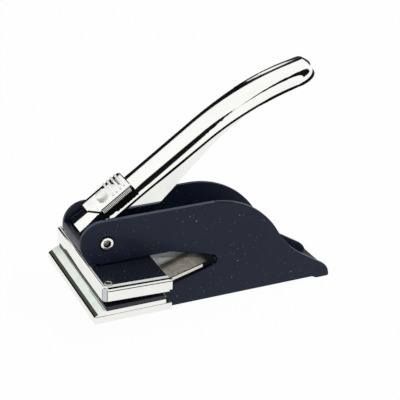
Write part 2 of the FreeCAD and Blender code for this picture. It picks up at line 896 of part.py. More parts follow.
def make_spring_stud():
    """Peg riveted into the floor; it keeps the spring in place."""
    x = front + size.spring_setback
    radius = size.spring_radius - size.spring_wire / 2 - size.stud_fit
    peg = cylinder("spring_stud_peg", radius, size.spring_stud_height, x=x, z=floor_top)
    shank = cylinder("spring_stud_tail", size.spring_stud_shank, size.sheet_wall, x=x, z=floor_under)
    return finish(fused("spring_stud_whole", [peg, shank]), "spring_stud")


# ---------------------------------------------------------------- pivot


def make_pivot_pin():
    """Pin through both cheeks with rolled, hollow ends."""
    end = half_frame + size.pivot_head
    shank = cylinder("pivot_shank", size.pivot_radius, end * 2, x=pivot_x, y=-end, z=pivot_z, across=True)
    heads = [
        cylinder(f"pivot_head_{name}", size.pivot_head_radius, size.pivot_head,
                 x=pivot_x, y=y, z=pivot_z, across=True)
        for name, y in (("near", -end), ("far", half_frame))
    ]
    hollows = [
        cylinder(f"pivot_hollow_{name}", size.pivot_hollow_radius, size.pivot_hollow_depth,
                 x=pivot_x, y=y, z=pivot_z, across=True)
        for name, y in (("near", -end), ("far", end - size.pivot_hollow_depth))
    ]
    pin = cut("pivot_pin_whole", fused("pivot_solid", [shank] + heads), fused("pivot_hollows", hollows))
    return finish(pin, "pivot_pin")


def make_pivot_bushes():
    """Rings on the pin between the lever and the cheeks."""
    inner_y = size.lever_width / 2
    length = half_inside - size.side_fit - inner_y
    bushes = []
    for name, y in (("near", -inner_y - length), ("far", inner_y)):
        ring = cylinder(f"bush_{name}_ring", size.bush_radius, length, y=y, across=True)
        bore = cylinder(f"bush_{name}_bore", size.pivot_radius + size.running_fit, length, y=y, across=True)
        bushes.append(cut(f"bush_{name}", ring, bore))
    return finish(grouped("bush_pair", bushes), "pivot_bushes", on_handle)


# ---------------------------------------------------------------- handle, drawn along its own length


def bend_corner(depth, bend):
    """Corner of a bent piece's two tangents, at a depth under the cover's top, and its radius."""
    radius = size.handle_bend_radius - depth
    return size.handle_straight + radius * tangent(bend / 2), size.cover_top - depth, radius


def tip_point(depth, bend, beyond=0):
    """Point at a depth under the cover's top, some way beyond the end of a bend."""
    turn = math.radians(bend.value)
    radius = size.handle_bend_radius.value - depth
    middle = size.cover_top.value - size.handle_bend_radius.value
    x = size.handle_straight.value + radius * math.sin(turn) + beyond * math.cos(turn)
    y = middle + radius * math.cos(turn) - beyond * math.sin(turn)
    return x, y


def handle_outline(sketch, start, top, low_start, low, bend, beyond=0, split=None):
    """Side view of a piece that follows the handle's bend between two depths.

    A split divides its straight top run in two there.
    """
    upper = bend_corner(top, bend)
    lower = bend_corner(low, bend)
    upper_tip = tip_point(top.value, bend, beyond)
    lower_tip = tip_point(low.value, bend, beyond)
    return rounded_outline(sketch, [
        (start, upper[1].value, 0),
        *([] if split is None else [(split, upper[1].value, 0)]),
        (upper[0].value, upper[1].value, upper[2]),
        (*upper_tip, 0),
        (*lower_tip, 0),
        (lower[0].value, lower[1].value, lower[2]),
        (start, size.cover_top.value - low_start, 0),
    ])


def stud_slot(body, name, low):
    """Outline, at a height, of the slot that the lock slide's stud travels in."""
    half = size.slide_stud_radius.value + size.slide_slot_fit.value
    rear = size.slide_stud_reach.value + half
    start = size.slide_stud_reach.value - size.slide_travel.value - half
    slot = new_sketch(body, name, "XY_Plane", low)
    rounding = half * 0.98
    return rounded_outline(slot, [(start, -half, rounding), (rear, -half, rounding),
                                  (rear, half, rounding), (start, half, rounding)])


def cover_form(name, inset, low_start, low, start):
    """Solid of the cover's outer form, or of its hollow when inset by the wall.

    A deep block gets its upright tip corners and then its top shoulders, which grow from the
    front along the grip and shrink again towards the tip; the side view then trims it from below.
    """
    block = new_body(f"{name}_block")
    section = new_sketch(block, f"{name}_block_side", "XZ_Plane")
    beyond = size.handle_tip.value - inset.value
    run = size.cover_shoulder_run.value
    handle_outline(section, start, inset, size.cover_form_depth.value, size.cover_form_depth,
                   size.handle_bend, beyond, split=run)
    half = size.cover_width / 2 - inset
    pad(block, section, half * 2, both_ways=True).Refine = False
    turn = math.radians(size.handle_bend.value)
    tip_upright = Vector(math.sin(turn), 0, math.cos(turn))
    for hand, radius in ((-1, size.cover_tip_near_corner), (1, size.cover_tip_far_corner)):
        def tip_corner(edge):
            return along(edge, tip_upright) and edge.CenterOfMass.y * hand > half.value - 1e-6

        round_edges(block, radius - inset, tip_corner).Refine = False

    def depth_under_top(point):
        middle = Vector(size.handle_straight.value, 0, size.cover_top.value - size.handle_bend_radius.value)
        if point.x < middle.x:
            return size.cover_top.value - point.z
        arm = Vector(point.x - middle.x, 0, point.z - middle.z)
        if math.atan2(arm.x, arm.z) <= turn:
            return size.handle_bend_radius.value - arm.Length
        return size.handle_bend_radius.value - arm.dot(tip_upright)

    def at_tip(point):
        end = Vector(*tip_point(inset.value, size.handle_bend, beyond), 0)
        return Vector(point.x - end.x, point.z - end.y, 0).Length < 0.01

    shoulders = {
        "front": size.cover_front_shoulder.value - inset.value,
        "grip": size.cover_shoulder.value - inset.value,
        "tip": size.cover_tip_shoulder.value - inset.value,
    }

    def shoulder_at(point):
        if point.x < start + 1e-3:
            return shoulders["front"]
        in_grip = point.x < size.handle_straight.value + 1e-3
        return shoulders["grip" if in_grip else "tip"]

    document.recompute()
    edges = []
    for number, edge in enumerate(block.Shape.Edges, start=1):
        middle = edge.valueAt(sum(edge.ParameterRange) / 2)
        ends = [vertex.Point for vertex in edge.Vertexes]
        on_top = all(abs(depth_under_top(point) - inset.value) < 0.01 for point in [middle] + ends)
        across_top = abs(middle.y) < 1e-6 and not at_tip(middle)
        if on_top and not across_top:
            # the shoulder runs back along the near side, round the tip and forward along the far side
            round_tip = at_tip(middle)
            hand = 1 if middle.y < 0 else -1
            ends.sort(key=lambda point: point.y if round_tip else point.x * hand)
            edges.append((hand, -middle.x, number, shoulder_at(ends[0]), shoulder_at(ends[-1])))
    # the first edge sets the direction in which the radii are read
    edges = [(number, low_radius, high_radius)
             for _, _, number, low_radius, high_radius in sorted(edges, reverse=True)]
    rounded = document.addObject("Part::Fillet", f"{name}_shoulders")
    rounded.Base = block
    rounded.Edges = edges

    trim = new_body(f"{name}_trim")
    side = new_sketch(trim, f"{name}_trim_side", "XZ_Plane")
    handle_outline(side, start, inset, low_start, low, size.handle_bend, beyond)
    pad(trim, side, size.cover_width, both_ways=True)
    form = document.addObject("Part::Common", f"{name}_form")
    form.Base = rounded
    form.Tool = trim
    return form


def make_handle_cover():
    """Chromed sheet cover: arched top, in-turned lower lips, closed round tip."""
    start = -size.cover_front.value
    outer = cover_form("cover", Size.of(0), size.cover_front_depth.value, size.cover_depth, start)
    hollow = cover_form("cover_hollow", size.cover_wall, size.cover_front_depth.value - size.cover_lip.value,
                        size.cover_depth - size.cover_lip, start - 1)
    channel = new_body("cover_channel")
    side = new_sketch(channel, "cover_channel_side", "XZ_Plane")
    handle_outline(side, start - 1, size.cover_front_depth - size.cover_lip, size.lever_depth.value,
                   size.lever_depth, size.lever_bend)
    pad(channel, side, size.lever_width, both_ways=True)
    slot = new_body("cover_slot")
    outline = stud_slot(slot, "cover_slot_outline", size.cover_top - size.cover_wall * 1.5)
    pad(slot, outline, size.cover_wall * 2)
    shell = cut("cover_shell", outer, fused("cover_inside", [hollow, channel, slot]))
    return finish(shell, "handle_cover", on_handle)


def cam_disc():
    """Radius and centre of the eccentric cam that keeps just clear of the wear plate.

    The distance from pivot to wear plate grows almost evenly with the handle's turn, and a disc
    whose centre lies off the pivot by that rate, square to the middle direction, follows it.
    """
    reach = (size.hinge_setback - size.pivot_setback).value
    height = (pivot_z - hinge_z).value
    half_open = math.radians(size.jaw_open.value / 2)
    half_travel = size.handle_travel.value / 2
    slope = size.handle_slope.value - half_travel
    radius = (height * math.cos(half_open) - reach * math.sin(half_open)
              - wear_top.value - size.cam_clearance.value)
    ratio = size.jaw_open.value / size.handle_travel.value
    growth = (reach * math.cos(half_open) + height * math.sin(half_open)) * ratio / (1 + ratio)
    direction = math.radians(-90 - size.jaw_open.value / 2 - slope)
    return radius, -growth * math.sin(direction), growth * math.cos(direction)


def runs_under_cover(edge, depth, half):
    """Whether an edge runs along the handle at a depth under the cover's top and a width."""
    box = edge.BoundBox
    on_side = box.YLength < 1e-6 and abs(abs(box.YMin) - half) < 1e-6
    middle = edge.valueAt(sum(edge.ParameterRange) / 2)
    if middle.x < size.handle_straight.value:
        under = size.cover_top.value - middle.z
    else:
        radius = size.handle_bend_radius.value
        arm = Vector(middle.x - size.handle_straight.value, 0, middle.z - size.cover_top.value + radius)
        under = radius - arm.Length
    return on_side and abs(under - depth) < 0.01


def make_lever():
    """Inner lever: channel under the cover whose walls deepen into two cams at the pivot."""
    body = new_body("lever")
    top = size.cover_wall.value
    radius, cam_x, cam_z = cam_disc()
    turn = math.radians(size.lever_bend.value)
    taper = math.radians(size.lever_taper.value)
    root_x = size.lever_root_reach.value
    root_z = -size.lever_root_drop.value
    tip_x, tip_z = tip_point(size.lever_depth.value, size.lever_bend)
    belly_x = (tip_z + tip_x * math.tan(turn) - root_z + root_x * math.tan(taper)) / (
        math.tan(taper) + math.tan(turn))
    belly_z = root_z + (belly_x - root_x) * math.tan(taper)
    upper = bend_corner(size.cover_wall, size.lever_bend)
    side = new_sketch(body, "lever_side", "XZ_Plane")
    rounded_outline(side, [
        (-size.lever_front.value, lever_top.value, 0),
        (upper[0].value, upper[1].value, upper[2]),
        (*tip_point(top, size.lever_bend), 0),
        (tip_x, tip_z, 1.0),
        (belly_x, belly_z, size.lever_belly_radius),
        (cam_x, root_z + (cam_x - root_x) * math.tan(taper), 0),
        (cam_x - radius * 0.8, cam_z, 0),
    ])
    pad(body, side, size.lever_width, both_ways=True)
    half = size.lever_width.value / 2
    round_edges(body, size.lever_shoulder, lambda edge: runs_under_cover(edge, top, half))

    # the cams are discs that stop below the lever's shoulders
    cam = new_sketch(body, "lever_cam", "XZ_Plane")
    disc = Part.Circle(Vector(cam_x, cam_z, 0), Vector(0, 0, 1), radius)
    stop = math.asin(((lever_top - size.lever_shoulder).value - cam_z) / radius)
    cam.addGeometry(Part.ArcOfCircle(disc, math.pi - stop, 2 * math.pi + stop))
    cam.addGeometry(Part.LineSegment(disc.value(stop), disc.value(math.pi - stop)))
    pad(body, cam, size.lever_width, both_ways=True)

    pivot_hole = new_sketch(body, "lever_pivot_hole", "XZ_Plane")
    circle(pivot_hole, size.pivot_radius + size.running_fit)
    circle(pivot_hole, size.cross_pin_radius, size.cross_pin_reach, -size.cross_pin_depth)
    pocket(body, pivot_hole, size.lever_width * 2, both_ways=True)
    pocket(body, stud_slot(body, "lever_slot", lever_top), size.lever_wall + 1)

    hollow = new_body("lever_hollow")
    inside = new_sketch(hollow, "lever_inside", "XZ_Plane")
    web = bend_corner(size.cover_wall + size.lever_wall, size.handle_bend)
    web_depth = top + size.lever_wall.value
    far_x, far_z = tip_point(web_depth, size.handle_bend, size.handle_tip.value)
    low = -2 * radius
    rounded_outline(inside, [
        (-3 * radius, web[1].value, 0),
        (web[0].value, web[1].value, web[2]),
        (far_x, far_z, 0),
        (far_x, low - 2 * radius, 0),
        (-3 * radius, low - 2 * radius, 0),
    ])
    pad(hollow, inside, size.lever_width - size.lever_wall * 2, both_ways=True)
    inner_half = half - size.lever_wall.value
    round_edges(hollow, size.lever_inner_shoulder, lambda edge: runs_under_cover(edge, web_depth, inner_half))
    return finish(cut("lever_shell", body, hollow), "lever", on_handle)


def make_cross_pin():
    """Short pin through the lever's walls."""
    body = new_body("cross_pin")
    section = new_sketch(body, "cross_pin_section", "XZ_Plane")
    circle(section, size.cross_pin_radius, size.cross_pin_reach, -size.cross_pin_depth)
    pad(body, section, size.lever_width + size.cross_pin_end * 2, both_ways=True)
    return finish(body, "cross_pin", on_handle)


# ---------------------------------------------------------------- lock slide


def make_lock_slide():
    """Slide on top of the cover: slanted front lip, ribs for the thumb at the back."""
    body = new_body("lock_slide")
    half = size.slide_width.value / 2
    lip = size.slide_front.value
    heel = size.slide_rear.value
    outline = new_sketch(body, "slide_outline", "XY_Plane", slide_under)
    rounded_outline(outline, [
        (heel, -half, 1.5),
        (heel, half, 1.5),
        (lip, half, 0.8),
        (lip, half * 0.25, 6.0),
        (lip + size.slide_front_cut.value, -half, 1.0),
    ])
    pad(body, outline, size.slide_wall)

    def top_edge(edge):
        return edge.BoundBox.ZMin > slide_top.value - 1e-6

    round_edges(body, size.slide_shoulder, top_edge)

    rib = new_sketch(body, "slide_rib", "XY_Plane", slide_top)
    rib_half = size.slide_rib_width / 2
    last = size.slide_rear - size.slide_rib_pitch
    rectangle(rib, last - size.slide_rib_length, last, -rib_half, rib_half)
    ridge = pad(body, rib, size.slide_rib_height)
    row = body.newObject("PartDesign::LinearPattern", "slide_ribs")
    row.Originals = [ridge]
    row.Direction = (rib, ["H_Axis"])
    row.Reversed = True
    row.Mode = "Spacing"
    bind(row, "Offset", size.slide_rib_pitch)
    bind(row, "Occurrences", size.slide_rib_count)
    body.Tip = row

    hole = new_sketch(body, "slide_stud_hole", "XY_Plane", slide_top)
    circle(hole, size.slide_stud_radius, size.slide_stud_reach, 0)
    pocket(body, hole, size.slide_wall)
    return finish(body, "lock_slide", on_handle)


def make_slide_stud():
    """Stud that carries the slide: shank through the slots, low head on top of the slide."""
    clip_under = lever_web_under - size.running_fit - size.slide_clip_wall
    shank = cylinder("slide_stud_shank", size.slide_stud_radius, slide_top - clip_under,
                     x=size.slide_stud_reach, z=clip_under)
    head = cylinder("slide_stud_head", size.slide_stud_head_radius, size.slide_stud_head,
                    x=size.slide_stud_reach, z=slide_top)
    return finish(fused("slide_stud_whole", [shank, head]), "slide_stud", on_handle)


def make_slide_clip():
    """Spring washer plate under the lever's web, held by the stud."""
    body = new_body("slide_clip")
    half = size.slide_clip_width / 2
    middle = size.slide_stud_reach
    top = lever_web_under - size.running_fit
    outline = new_sketch(body, "clip_outline", "XY_Plane", top - size.slide_clip_wall)
    rectangle(outline, middle - size.slide_clip_length / 2, middle + size.slide_clip_length / 2, -half, half)
    pad(body, outline, size.slide_clip_wall)
    hole = new_sketch(body, "clip_hole", "XY_Plane", top)
    circle(hole, size.slide_stud_radius, middle, 0)
    pocket(body, hole, size.slide_clip_wall)
    return finish(body, "slide_clip", on_handle)


# ---------------------------------------------------------------- build, check and write


def build():
    make_frame()
    make_nose_bridge()
    make_base_pad()
    make_lower_plate()
    make_lower_die()
    make_anvil_block()
    make_anvil_screws()
    make_upper_platen()
    make_press_arm()
    make_cap_plate()
    make_cap_screws()
    make_upper_die()
    make_wear_plate()
    make_wear_rivets()
    make_hinge_bracket()
    make_hinge_pin()
    make_bracket_rivets()
    make_return_spring()
    make_spring_stud()
    make_pivot_pin()
    make_pivot_bushes()
    make_lever()
    make_handle_cover()
    make_cross_pin()
    make_lock_slide()
    make_slide_stud()
    make_slide_clip()
    document.recompute()


def check():
    """Stops with a plain message if any object failed or any sub-part isn't a sound solid."""
    for thing in document.Objects:
        if {"Invalid", "Error"} & set(thing.State):
            raise RuntimeError(f"{thing.Name} ({thing.Label}) failed: {thing.State}")
    for thing in finished:
        shape = thing.Shape
        if shape.isNull() or not shape.isValid() or not shape.Solids:
            raise RuntimeError(f"{thing.Label} has no valid solid")


def write():
    os.makedirs("parts", exist_ok=True)
    for thing in finished:
        thing.Shape.exportStep(os.path.join("parts", f"{thing.Label}.step"))
        box = thing.Shape.BoundBox
        print(f"{thing.Label:20s} solids {len(thing.Shape.Solids)}  volume {thing.Shape.Volume:9.1f}  "
              f"X {box.XMin:7.2f} {box.XMax:7.2f}  Y {box.YMin:7.2f} {box.YMax:7.2f}  "
              f"Z {box.ZMin:6.2f} {box.ZMax:6.2f}")


build()
check()
write()
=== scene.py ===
"""Looks of the desk seal embosser: chrome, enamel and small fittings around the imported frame."""
import math

import bpy
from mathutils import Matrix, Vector


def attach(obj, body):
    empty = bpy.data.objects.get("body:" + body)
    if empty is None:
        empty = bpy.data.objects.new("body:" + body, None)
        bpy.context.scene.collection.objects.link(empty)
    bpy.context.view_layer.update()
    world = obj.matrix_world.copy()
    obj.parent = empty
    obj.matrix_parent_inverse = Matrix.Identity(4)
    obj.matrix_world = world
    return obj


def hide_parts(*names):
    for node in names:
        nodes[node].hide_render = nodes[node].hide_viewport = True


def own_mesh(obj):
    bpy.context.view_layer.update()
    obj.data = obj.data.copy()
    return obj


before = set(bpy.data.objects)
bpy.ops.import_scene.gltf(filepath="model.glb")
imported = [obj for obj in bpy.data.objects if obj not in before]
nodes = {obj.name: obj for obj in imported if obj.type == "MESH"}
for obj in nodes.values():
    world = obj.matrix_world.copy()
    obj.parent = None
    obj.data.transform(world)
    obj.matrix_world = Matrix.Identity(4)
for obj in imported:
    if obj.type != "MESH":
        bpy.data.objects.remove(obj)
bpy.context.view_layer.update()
bpy.ops.object.select_all(action="DESELECT")

MM = 0.001
WELD = 0.002 * MM
ON_PLANE = 0.001 * MM
FLAT, SHARP, CREASED = (math.radians(angle) for angle in (0.3, 28, 35))
PIVOT = Vector((-44.2, 0, 34.95)) * MM
HANDLE_TILT = math.radians(34.5)
ALONG = Vector((math.cos(HANDLE_TILT), 0, math.sin(HANDLE_TILT)))
OFF = Vector((-math.sin(HANDLE_TILT), 0, math.cos(HANDLE_TILT)))
SIDES = (("near", -1), ("far", 1))


def on_handle(along, y, off):
    """A point given along, across and off the handle, in mm from the pivot."""
    return PIVOT + (ALONG * along + OFF * off + Vector((0, y, 0))) * MM


def along_handle(at):
    """How far along the handle a point in mm lies from the pivot."""
    return (at * MM - PIVOT).dot(ALONG) / MM


def off_handle(at):
    """How far off the handle's line a point in mm lies."""
    return (at * MM - PIVOT).dot(OFF) / MM


# ---------------------------------------------------------------- finishes


class Graph:
    """A node tree being put together: adds nodes and joins their sockets."""

    def __init__(self, tree):
        self.tree = tree

    def add(self, kind, **settings):
        made = self.tree.nodes.new(kind)
        for key, value in settings.items():
            setattr(made, key, value)
        return made

    def join(self, output, socket):
        self.tree.links.new(output, socket)

    def feed(self, value, socket):
        """Sets a socket to a number or a colour, or joins it to an output."""
        if isinstance(value, (int, float)):
            socket.default_value = value
        elif isinstance(value, tuple):
            socket.default_value = (*value, 1)
        else:
            self.join(value, socket)

    def math(self, operation, first, second=0.0, third=0.0):
        """One sum; the inputs are numbers or outputs."""
        step = self.add("ShaderNodeMath", operation=operation)
        for value, socket in zip((first, second, third), step.inputs):
            self.feed(value, socket)
        return step.outputs["Value"]

    def ramp(self, value, stops):
        """Colour or grey from a value: stops are (position, colour)."""
        band = self.add("ShaderNodeValToRGB")
        points = band.color_ramp.elements
        while len(points) < len(stops):
            points.new(0.5)
        for point, (position, colour) in zip(points, stops):
            point.position = position
            grey = isinstance(colour, (int, float))
            point.color = (colour, colour, colour, 1) if grey else (*colour, 1)
        self.join(value, band.inputs["Fac"])
        return band.outputs["Color"]

    def blend(self, amount, first, second):
        mix = self.add("ShaderNodeMix", data_type="RGBA")
        self.join(amount, mix.inputs["Factor"])
        self.feed(first, mix.inputs["A"])
        self.feed(second, mix.inputs["B"])
        return mix.outputs["Result"]

    def multiply(self, first, second):
        both = self.add("ShaderNodeMix", data_type="RGBA", blend_type="MULTIPLY")
        both.inputs["Factor"].default_value = 1.0
        self.join(first, both.inputs["A"])
        self.join(second, both.inputs["B"])
        return both.outputs["Result"]

    def step(self, value, edge, soft):
        """Nought below an edge and one above it, with a soft change."""
        rise = self.math("SUBTRACT", value, edge - soft)
        made = self.add("ShaderNodeMath", operation="DIVIDE", use_clamp=True)
        self.join(rise, made.inputs[0])
        made.inputs[1].default_value = soft * 2
        return made.outputs["Value"]


class Finish(Graph):
    """A surface material."""

    def __init__(self, name):
        self.material = bpy.data.materials.new(name)
        self.material.use_nodes = True
        super().__init__(self.material.node_tree)
        self.shader = self.tree.nodes["Principled BSDF"]
        self.place = self.add("ShaderNodeTexCoord").outputs["Object"]

    def noise(self, scale, detail=2.0, stretch=(1, 1, 1)):
        spread = self.add("ShaderNodeMapping")
        spread.inputs["Scale"].default_value = stretch
        self.join(self.place, spread.inputs["Vector"])
        texture = self.add("ShaderNodeTexNoise")
        texture.inputs["Scale"].default_value = scale
        texture.inputs["Detail"].default_value = detail
        self.join(spread.outputs["Vector"], texture.inputs["Vector"])
        return texture.outputs["Fac"]

    def vary(self, socket, scale, detail, *stops, stretch=(1, 1, 1)):
        """Lets noise move a socket between two stops."""
        self.join(self.ramp(self.noise(scale, detail, stretch), stops), self.shader.inputs[socket])

    def bump(self, height, depth, strength):
        raised = self.add("ShaderNodeBump")
        raised.inputs["Strength"].default_value = strength
        raised.inputs["Distance"].default_value = depth
        self.join(height, raised.inputs["Height"])
        self.join(raised.outputs["Normal"], self.shader.inputs["Normal"])

    def set(self, **values):
        for key, value in values.items():
            self.shader.inputs[key.replace("_", " ")].default_value = value


def specks(finish, spacing, size, share):
    """Sparse small round dots of uneven brightness: black elsewhere."""
    cells = finish.add("ShaderNodeTexVoronoi")
    cells.inputs["Scale"].default_value = 1 / spacing
    finish.join(finish.place, cells.inputs["Vector"])
    rim, blur, fade = size / spacing, 1.5, 1.02
    dot = finish.ramp(cells.outputs["Distance"], [(0.0, 1.0), (rim, 1.0), (rim * blur, 0.0)])
    split = finish.add("ShaderNodeSeparateColor")
    finish.join(cells.outputs["Color"], split.inputs["Color"])
    chosen = finish.ramp(split.outputs["Red"], [(0.0, 1.0), (share, 1.0), (share * fade, 0.0)])
    return finish.multiply(dot, chosen)


def scaled(colour, factor):
    return tuple(part * factor for part in colour)


def chrome_finish(name, low=0.03, high=0.07, tints=((0.86, 0.865, 0.84), (0.93, 0.93, 0.9))):
    finish = Finish(name)
    finish.vary("Base Color", 90, 3.0, (0.3, tints[0]), (0.7, tints[1]))
    finish.vary("Roughness", 420, 4.0, (0.35, low), (0.75, high), stretch=(0.15, 1, 1))
    finish.bump(finish.noise(260), 0.01 * MM, 0.1)
    finish.set(Metallic=1.0)
    return finish.material


def enamel_finish(name, colour, gloss, share):
    finish = Finish(name)
    shade = finish.ramp(finish.noise(60, 3.0), [(0.3, scaled(colour, 0.85)), (0.7, scaled(colour, 1.15))])
    dust = specks(finish, 1.5 * MM, 0.12 * MM, share)
    dots = specks(finish, 3.1 * MM, 0.14 * MM, share * 0.5)
    dusted = finish.blend(dust, shade, (0.16, 0.18, 0.26))
    finish.join(finish.blend(dots, dusted, (0.55, 0.6, 0.72)), finish.shader.inputs["Base Color"])
    finish.vary("Roughness", 300, 2.0, (0.3, gloss), (0.7, gloss + 0.08))
    finish.bump(finish.noise(1400), 0.03 * MM, 0.35)
    finish.set(Specular_IOR_Level=0.22)
    return finish.material


def steel_finish(name, colour, low, high, grain=(0.08, 1, 1), metal=1.0):
    finish = Finish(name)
    lines = finish.noise(1500, 4.0, stretch=grain)
    finish.join(finish.ramp(lines, [(0.25, scaled(colour, 0.82)), (0.75, colour)]),
                finish.shader.inputs["Base Color"])
    finish.vary("Roughness", 240, 3.0, (0.3, low), (0.7, high))
    finish.bump(lines, 0.02 * MM, 0.4)
    finish.set(Metallic=metal)
    return finish.material


def moulded_finish(name, colour, gloss, grain, shine=0.5):
    finish = Finish(name)
    finish.vary("Base Color", 120, 3.0, (0.3, scaled(colour, 0.8)), (0.7, colour))
    finish.vary("Roughness", 500, 2.0, (0.3, gloss), (0.7, gloss + 0.12))
    finish.bump(finish.noise(grain, 3.0), 0.06 * MM, 0.5)
    finish.set(Specular_IOR_Level=shine)
    return finish.material


def arm_finish(name):
    """Dull nickel with painted reflection bands and a dark brown stripe across it, a painted highlight at the
    front and painted shade toward the hinge.
    """
    finish = Finish(name)
    split = finish.add("ShaderNodeSeparateXYZ")
    finish.join(finish.place, split.inputs["Vector"])
    x, y = split.outputs["X"], split.outputs["Y"]
    stripe_x, stripe_y, span = 0.598, -0.801, 20 * MM
    across = finish.math("MULTIPLY_ADD", x, stripe_x / span, finish.math("MULTIPLY_ADD", y, stripe_y / span, 0.5))
    # painted reflection: grey, a dark brown stripe and cream in bands across the arm
    base = finish.ramp(across, [
        (0.3, (0.8, 0.83, 0.85)), (0.42, (0.62, 0.65, 0.66)), (0.5, (0.09, 0.08, 0.065)),
        (0.57, (0.16, 0.14, 0.11)), (0.66, (0.6, 0.55, 0.46)), (0.9, (0.66, 0.62, 0.54))])
    # painted highlight on the front of the arm
    glint_x, glint_y = -0.267, 0.964
    side = finish.math("MULTIPLY_ADD", x, glint_x, finish.math("MULTIPLY", y, glint_y))
    front = finish.math("SUBTRACT", 1.0, finish.step(x, -14.5 * MM, 0.5 * MM))
    glint = finish.math("MULTIPLY", finish.step(side, -3 * MM, 0.3 * MM), front)
    mottle = finish.ramp(finish.noise(700, 4.0), [(0.35, 0.55), (0.65, 1.0)])
    glinted = finish.blend(glint, finish.multiply(base, mottle), (0.97, 0.97, 0.95))
    # painted shade, darkening toward the hinge
    hinge_shade = finish.step(x, -5 * MM, 3 * MM)
    finish.join(finish.blend(hinge_shade, glinted, (0.02, 0.02, 0.02)), finish.shader.inputs["Base Color"])
    finish.vary("Roughness", 240, 3.0, (0.3, 0.3), (0.7, 0.45))
    finish.bump(finish.noise(1500, 4.0, stretch=(1, 0.15, 1)), 0.02 * MM, 0.4)
    finish.set(Metallic=0.35)
    return finish.material


chrome = chrome_finish("polished chrome")
bright_chrome = chrome_finish("fresh chrome", 0.03, 0.07, ((0.93, 0.935, 0.915), (0.98, 0.98, 0.96)))
pale_chrome = chrome_finish("cloudy chrome", 0.04, 0.12, ((0.66, 0.74, 0.67), (0.84, 0.88, 0.84)))
enamel = enamel_finish("navy enamel", (0.0075, 0.0125, 0.029), 0.34, 0.7)
# painted highlight: light navy for the lit edge lines round the cheeks
enamel_edge_highlight = enamel_finish("navy enamel with painted edge highlight", (0.26, 0.28, 0.37), 0.4, 0.1)
# painted light: a paler navy for the lit top edge of the near cheek
enamel_lit_top = enamel_finish("navy enamel with painted top light", (0.06, 0.07, 0.11), 0.4, 0.3)
cap_enamel = enamel_finish("black cap enamel", (0.012, 0.0135, 0.024), 0.22, 0.4)
# painted shade and dark reflection: near black for shadow gaps, bores, joints and dark bands mirrored in
# chrome
shade_and_reflection_black = moulded_finish("black painted shade and reflection", (0.003, 0.003, 0.0035), 0.5, 900, shine=0.04)
# browned steel on the cap screws; it also paints shade on the slide's near skirt
dark_steel = steel_finish("browned steel and painted skirt shade", (0.09, 0.085, 0.08), 0.3, 0.45)
mottled_steel = steel_finish("mottled bevel", (0.1, 0.095, 0.085), 0.35, 0.6, grain=(1, 0.12, 1))
# painted sheen: a flat white that stands in for bright reflections on chrome rims, strips, teeth, ribs and
# the stud's sides
sheen_white = steel_finish("white painted sheen", (0.98, 0.98, 0.95), 0.4, 0.5, grain=(1, 1, 1), metal=0.0)
# painted reflection: pale blue for the platen's near front corner
reflection_blue = steel_finish("pale blue painted reflection", (0.8, 0.88, 0.9), 0.2, 0.3, grain=(1, 1, 1), metal=0.3)
cream_steel = steel_finish("mottled cream", (0.86, 0.83, 0.74), 0.3, 0.5, grain=(1, 1, 1), metal=0.3)
arm_nickel = arm_finish("dull nickel")
steel = steel_finish("plain steel", (0.58, 0.58, 0.56), 0.25, 0.4)
spring_wire = steel_finish("spring wire", (0.2, 0.2, 0.21), 0.28, 0.42)
brass = steel_finish("die brass", (0.76, 0.58, 0.29), 0.22, 0.34)
die_black = moulded_finish("counter die", (0.01, 0.012, 0.022), 0.22, 900)
rubber = moulded_finish("pad rubber", (0.018, 0.018, 0.019), 0.62, 2200)

# ---------------------------------------------------------------- pieces made from the frame's own solids


def only(piece):
    bpy.ops.object.select_all(action="DESELECT")
    piece.select_set(True)
    bpy.context.view_layer.objects.active = piece


def modify(piece, kind, **settings):
    step = piece.modifiers.new(kind.title(), kind)
    for key, value in settings.items():
        setattr(step, key, value)
    only(piece)
    bpy.ops.object.modifier_apply(modifier=step.name)


def smooth(piece):
    only(piece)
    bpy.ops.object.shade_smooth_by_angle(angle=CREASED)


def neighbours(mesh):
    """For each edge, the normals of the faces beside it."""
    beside = {}
    for face in mesh.polygons:
        for key in face.edge_keys:
            beside.setdefault(key, []).append(face.normal)
    return beside


def material_number(piece, material):
    if material.name not in piece.data.materials:
        piece.data.materials.append(material)
    return piece.data.materials.find(material.name)


def paint(piece, material, test):
    """Gives the faces that pass a test, by middle in mm and normal, another material."""
    number = material_number(piece, material)
    for face in piece.data.polygons:
        if test(face.center / MM, face.normal):
            face.material_index = number


def pick_edges(piece, test):
    """Goes into edit mode with the edges selected that pass a test, by middle in mm and facing sides."""
    mesh = piece.data
    only(piece)
    for items in (mesh.vertices, mesh.edges, mesh.polygons):
        items.foreach_set("select", [False] * len(items))
    beside = neighbours(mesh)
    for edge in mesh.edges:
        first, last = (mesh.vertices[number].co for number in edge.vertices)
        edge.select = test((first + last) / 2 / MM, beside.get(edge.key, []))
    bpy.context.tool_settings.mesh_select_mode = (False, True, False)
    bpy.ops.object.mode_set(mode="EDIT")


def split(piece, place, facing):
    """Cuts a piece's faces along a plane and keeps both sides."""
    only(piece)
    bpy.ops.object.mode_set(mode="EDIT")
    bpy.ops.mesh.select_all(action="SELECT")
    bpy.ops.mesh.bisect(plane_co=Vector(place) * MM, plane_no=facing, threshold=ON_PLANE)
    bpy.ops.object.mode_set(mode="OBJECT")


def edge_band(piece, width, material, test):
    """Bevels chosen edges, with the new faces in a material of their own."""
    number = material_number(piece, material)
    pick_edges(piece, test)
    bpy.ops.mesh.bevel(offset=width * MM, segments=1, affect="EDGES", clamp_overlap=True, material=number)
    bpy.ops.object.mode_set(mode="OBJECT")


